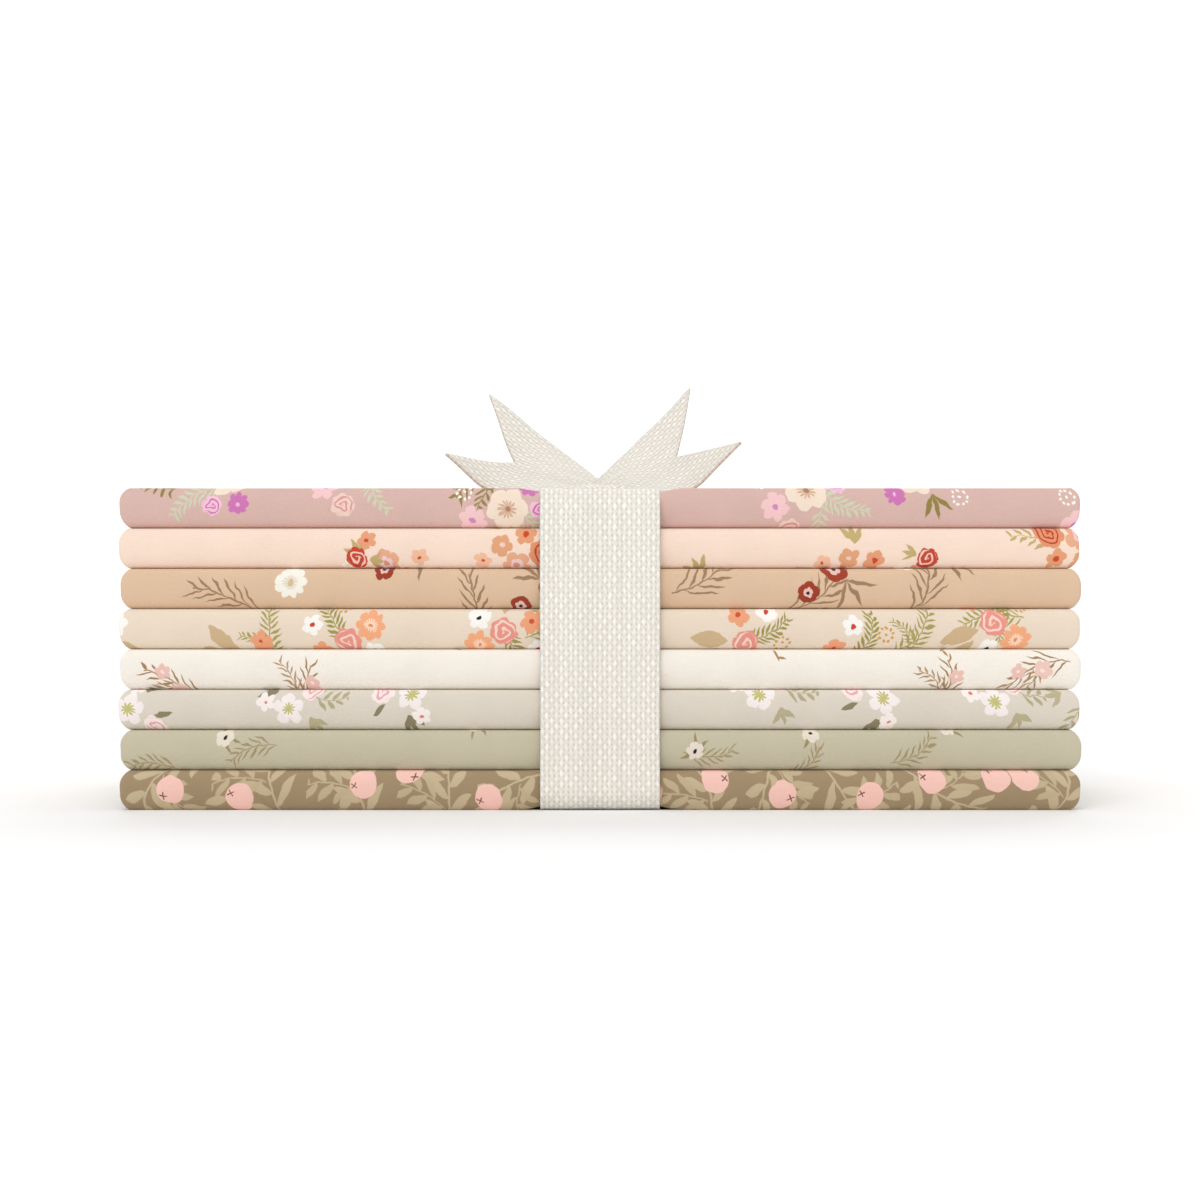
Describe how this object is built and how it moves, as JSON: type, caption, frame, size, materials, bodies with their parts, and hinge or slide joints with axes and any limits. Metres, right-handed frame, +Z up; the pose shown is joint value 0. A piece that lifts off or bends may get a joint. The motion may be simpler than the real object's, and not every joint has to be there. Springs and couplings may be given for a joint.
{
  "type": "fat quarter bundle",
  "caption": "Stack of folded fat quarters of printed quilting cotton, tied round the middle with a ribbon that has swallowtail ends.",
  "frame": {"origin": "on the surface the bundle lies on, under the middle of its box", "axes": "+Z up; the folded spines face -Y and the raw ends face +Y; +X runs along the spines"},
  "size_m": [0.2288, 0.1432, 0.1057],
  "materials": {
    "print_rose": "matte quilting cotton with a floral print on dusty rose",
    "print_blush": "matte quilting cotton with a floral print on peach blush",
    "print_apricot": "matte quilting cotton with a poppy print on apricot tan",
    "print_cream": "matte quilting cotton with a floral print on cream beige",
    "print_ivory": "matte quilting cotton with a leafy twig print on ivory",
    "print_greige": "matte quilting cotton with a blossom print on light greige",
    "print_sage": "matte quilting cotton with a meadow print on sage",
    "print_umber": "matte quilting cotton with a foliage and fruit print on umber",
    "ribbon": "coarse plain-woven ivory ribbon with slubs"
  },
  "bodies": {
    "root": {"fat_quarter_rose": "print_rose", "fat_quarter_blush": "print_blush", "fat_quarter_apricot": "print_apricot", "fat_quarter_cream": "print_cream", "fat_quarter_ivory": "print_ivory", "fat_quarter_greige": "print_greige", "fat_quarter_sage": "print_sage", "fat_quarter_umber": "print_umber", "ribbon": "ribbon"}
  },
  "joints": []
}
